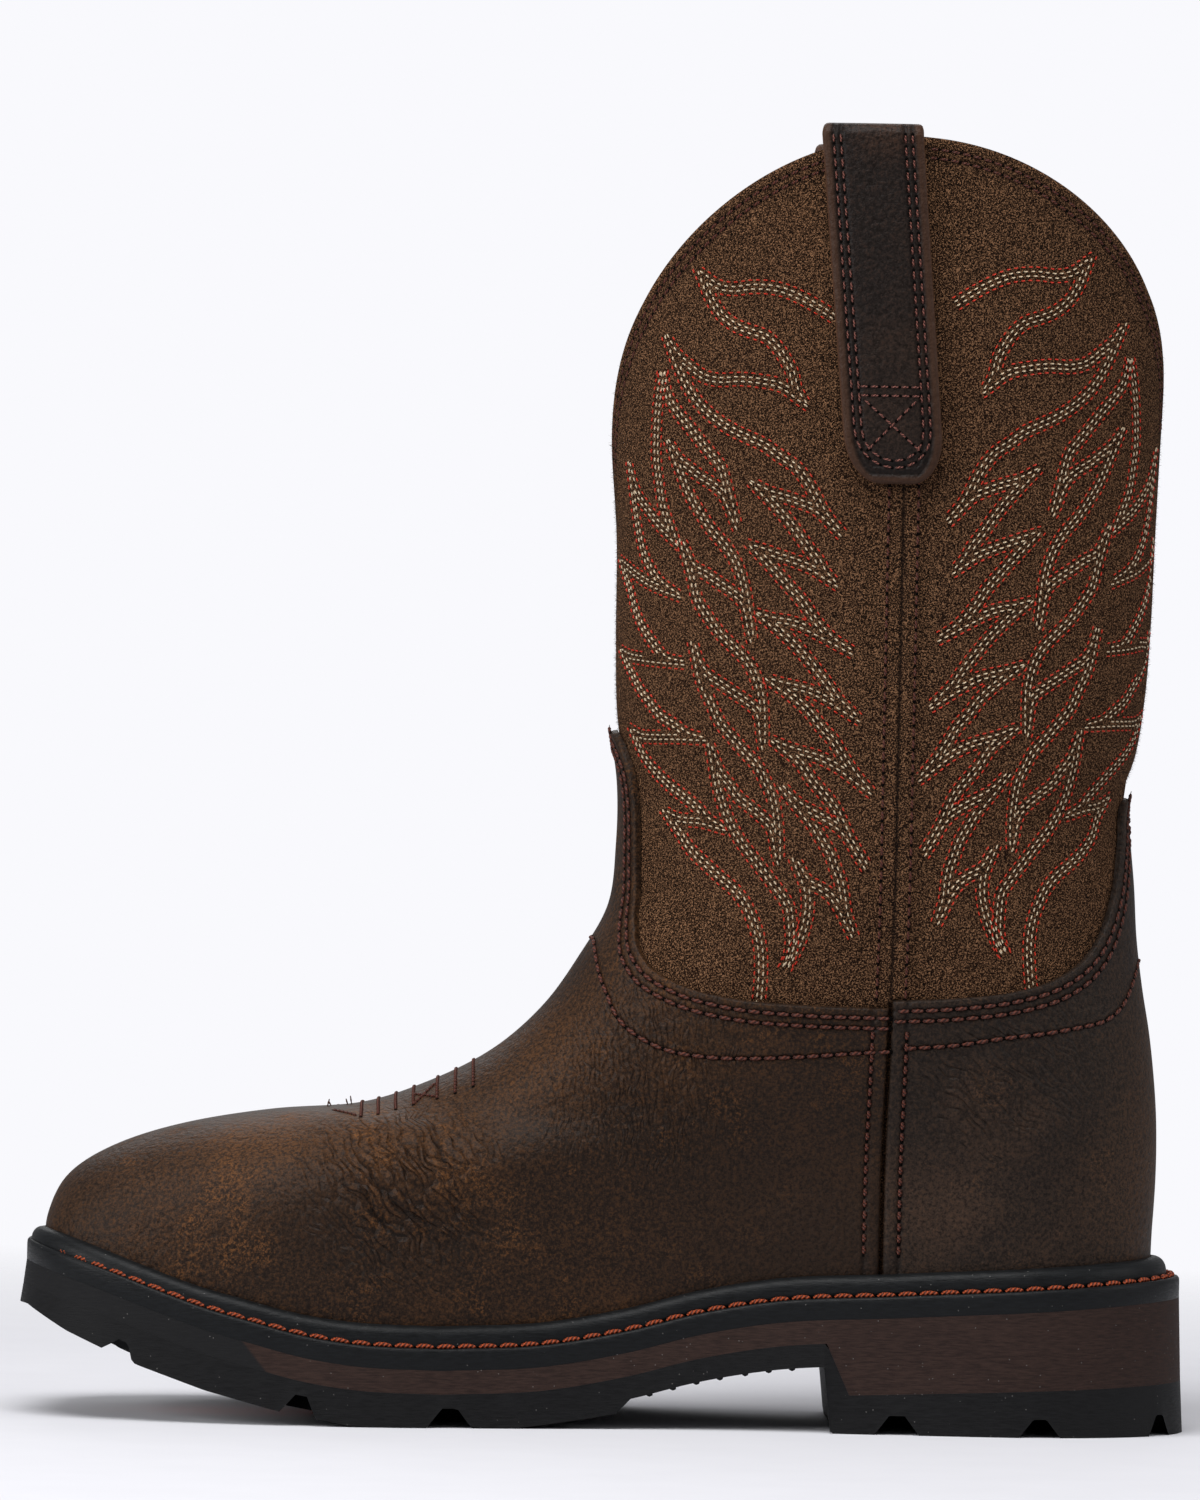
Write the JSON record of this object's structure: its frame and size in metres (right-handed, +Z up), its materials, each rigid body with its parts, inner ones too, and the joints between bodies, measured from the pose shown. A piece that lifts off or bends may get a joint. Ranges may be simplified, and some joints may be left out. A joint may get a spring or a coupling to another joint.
{
  "type": "western work boot",
  "caption": "Pull-on western work boot with a broad square toe, V-dipped collar, pull straps, storm welt, stacked heel and lugged rubber sole.",
  "frame": {"origin": "middle of the footprint's bounding box, on the floor", "axes": "+X towards the toe, +Y towards the medial (inner) side, +Z up along the leg"},
  "size_m": [0.3054, 0.1138, 0.3396],
  "materials": {
    "suede": "napped",
    "oiled_leather": "satin, oiled",
    "strap_leather": "satin",
    "black_rubber": "matte",
    "brown_rubber": "matte",
    "lining": "matte"
  },
  "bodies": {
    "root": {"upper": "suede", "vamp": "oiled_leather", "counter": "oiled_leather", "welt": "black_rubber", "midsole": "brown_rubber", "outsole": "black_rubber", "insole": "lining", "pull_strap_medial": "strap_leather", "pull_strap_lateral": "strap_leather"}
  },
  "joints": []
}
